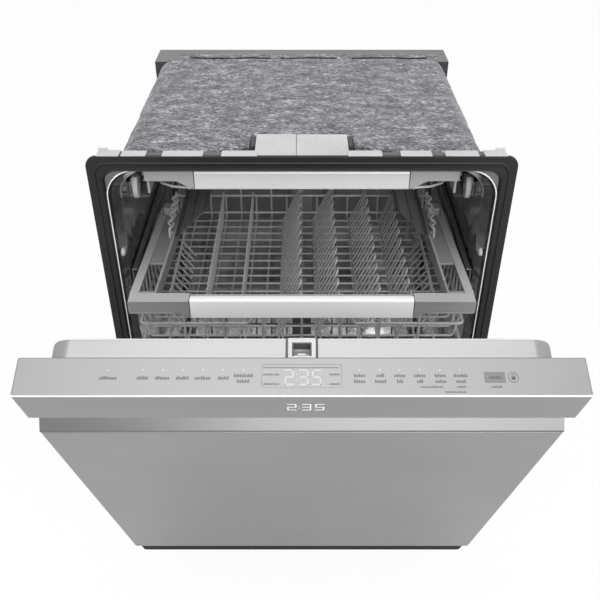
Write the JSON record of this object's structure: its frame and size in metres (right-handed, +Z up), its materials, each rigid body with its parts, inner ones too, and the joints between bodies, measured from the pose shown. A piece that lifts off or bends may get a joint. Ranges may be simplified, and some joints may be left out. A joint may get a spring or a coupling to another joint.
{
  "type": "dishwasher",
  "caption": "Built-in undercounter dishwasher with a hinged front door, a felt-wrapped steel tub, three sliding wire racks and turning spray arms.",
  "frame": {"origin": "on the floor, under the middle of the whole outline with the door 24 degrees open", "axes": "+X to the right seen from the front, +Y back into the tub, +Z up; the door's front faces -Y"},
  "size_m": [0.603, 0.945, 0.853],
  "materials": {
    "brushed_steel": "satin",
    "bright_steel": "satin",
    "tub_steel": "gloss",
    "dark_steel": "satin",
    "coated_wire": "satin",
    "silver_bar": "satin",
    "grey_plastic": "satin",
    "pale_plastic": "satin",
    "dark_plastic": "satin",
    "black_rubber": "matte",
    "grey_felt": "matte",
    "lens": "gloss"
  },
  "bodies": {
    "cabinet": {"tub_shell": "tub_steel", "gasket_frame": "black_rubber", "felt_blanket": "grey_felt", "blank_plate": "pale_plastic", "rear_frame": "dark_steel", "base_pan": "dark_plastic", "toe_panel": "dark_plastic", "foot_front_left": "dark_steel", "foot_front_right": "dark_steel", "foot_rear_left": "dark_steel", "foot_rear_right": "dark_steel", "front_bracket_left": "pale_plastic", "front_bracket_right": "pale_plastic", "hinge_bracket_left": "dark_steel", "hinge_bracket_right": "dark_steel", "door_spring_left": "dark_steel", "door_spring_right": "dark_steel", "sump": "dark_plastic", "filter_plate": "tub_steel", "filter_cup": "grey_plastic", "feed_duct": "grey_plastic", "wash_motor": "dark_plastic", "drain_pump": "dark_plastic", "inlet_valve": "pale_plastic", "third_rail_left": "pale_plastic", "third_rail_right": "pale_plastic", "middle_rail_left": "bright_steel", "middle_rail_right": "bright_steel"},
    "door": {"door_outer_panel": "brushed_steel", "door_insulation": "grey_felt", "control_console": "brushed_steel", "display_lens": "lens", "pocket_handle": "grey_plastic", "door_inner_liner": "bright_steel", "latch_housing": "grey_plastic", "dispenser_housing": "grey_plastic", "door_bottom_strip": "dark_plastic", "hinge_arm_left": "dark_steel", "hinge_arm_right": "dark_steel"},
    "latch_pawl": {"latch_pawl": "dark_steel"},
    "dispenser_lid": {"dispenser_lid": "pale_plastic"},
    "rinse_aid_cap": {"rinse_aid_cap": "dark_plastic"},
    "third_rack": {"third_handle_bar": "silver_bar", "third_front": "grey_plastic", "third_tray": "coated_wire"},
    "middle_rack": {"middle_handle_bar": "silver_bar", "middle_frame": "grey_plastic", "middle_basket": "coated_wire", "middle_feed_tube": "grey_plastic"},
    "middle_spray_arm": {"middle_spray_arm": "grey_plastic"},
    "cup_shelf_left": {"cup_shelf_left": "dark_plastic"},
    "cup_shelf_right": {"cup_shelf_right": "dark_plastic"},
    "lower_rack": {"lower_basket": "coated_wire"},
    "folding_tines": {"folding_tines": "coated_wire"},
    "lower_spray_arm": {"lower_spray_arm": "grey_plastic"},
    "upper_spray_arm": {"upper_spray_arm": "grey_plastic"},
    "wheel_front_left": {"wheel_front_left": "grey_plastic"},
    "wheel_front_right": {"wheel_front_right": "grey_plastic"},
    "wheel_rear_left": {"wheel_rear_left": "grey_plastic"},
    "wheel_rear_right": {"wheel_rear_right": "grey_plastic"}
  },
  "joints": [
    {"name": "door_hinge", "type": "hinge", "parent": "cabinet", "child": "door", "pos_m": [0, -0.11096, 0.102], "axis": [1, 0, 0], "range_deg": [-24.1, 65.9]},
    {"name": "third_rack_slide", "type": "slide", "parent": "cabinet", "child": "third_rack", "axis": [0, -1, 0], "range_m": [0, 0.32]},
    {"name": "middle_rack_slide", "type": "slide", "parent": "cabinet", "child": "middle_rack", "axis": [0, -1, 0], "range_m": [-0.095, 0.26]},
    {"name": "lower_rack_slide", "type": "slide", "parent": "cabinet", "child": "lower_rack", "axis": [0, -1, 0], "range_m": [-0.0635, 0.173]},
    {"name": "middle_spray_spin", "type": "hinge", "parent": "middle_rack", "child": "middle_spray_arm", "pos_m": [0, 0.07254, 0.515], "axis": [0, 0, 1], "continuous": true},
    {"name": "lower_spray_spin", "type": "hinge", "parent": "cabinet", "child": "lower_spray_arm", "pos_m": [0, 0.15254, 0.155], "axis": [0, 0, 1], "continuous": true},
    {"name": "upper_spray_spin", "type": "hinge", "parent": "cabinet", "child": "upper_spray_arm", "pos_m": [0, 0.15254, 0.798], "axis": [0, 0, 1], "continuous": true},
    {"name": "cup_shelf_left_fold", "type": "hinge", "parent": "middle_rack", "child": "cup_shelf_left", "pos_m": [-0.2054, 0.11754, 0.648], "axis": [0, 1, 0], "range_deg": [-45, 45]},
    {"name": "cup_shelf_right_fold", "type": "hinge", "parent": "middle_rack", "child": "cup_shelf_right", "pos_m": [0.2054, 0.11754, 0.648], "axis": [0, -1, 0], "range_deg": [-45, 45]},
    {"name": "tine_fold", "type": "hinge", "parent": "lower_rack", "child": "folding_tines", "pos_m": [-0.078, 0.09254, 0.18727], "axis": [0, 1, 0], "range_deg": [0, 82]},
    {"name": "latch_pawl_slide", "type": "slide", "parent": "door", "child": "latch_pawl", "axis": [0, -0.4083, 0.9128], "range_m": [0, 0.006], "stiffness_N_per_m": 300},
    {"name": "dispenser_lid_slide", "type": "slide", "parent": "door", "child": "dispenser_lid", "axis": [0, -0.4083, 0.9128], "range_m": [0, 0.11]},
    {"name": "rinse_aid_cap_turn", "type": "hinge", "parent": "door", "child": "rinse_aid_cap", "pos_m": [-0.094, -0.2581, 0.45028], "axis": [0, 0.9128, 0.4083], "range_deg": [0, 90]},
    {"name": "wheel_front_left_spin", "type": "hinge", "parent": "lower_rack", "child": "wheel_front_left", "pos_m": [-0.2265, -0.04147, 0.1456], "axis": [1, 0, 0], "continuous": true},
    {"name": "wheel_front_right_spin", "type": "hinge", "parent": "lower_rack", "child": "wheel_front_right", "pos_m": [0.2265, -0.04147, 0.1456], "axis": [1, 0, 0], "continuous": true},
    {"name": "wheel_rear_left_spin", "type": "hinge", "parent": "lower_rack", "child": "wheel_rear_left", "pos_m": [-0.2265, 0.23853, 0.1456], "axis": [1, 0, 0], "continuous": true},
    {"name": "wheel_rear_right_spin", "type": "hinge", "parent": "lower_rack", "child": "wheel_rear_right", "pos_m": [0.2265, 0.23853, 0.1456], "axis": [1, 0, 0], "continuous": true}
  ],
  "couplings": [
    {"joint": "middle_rack_slide", "follows": "door_hinge", "m_per_rad": 0.225},
    {"joint": "lower_rack_slide", "follows": "door_hinge", "m_per_rad": 0.15}
  ]
}
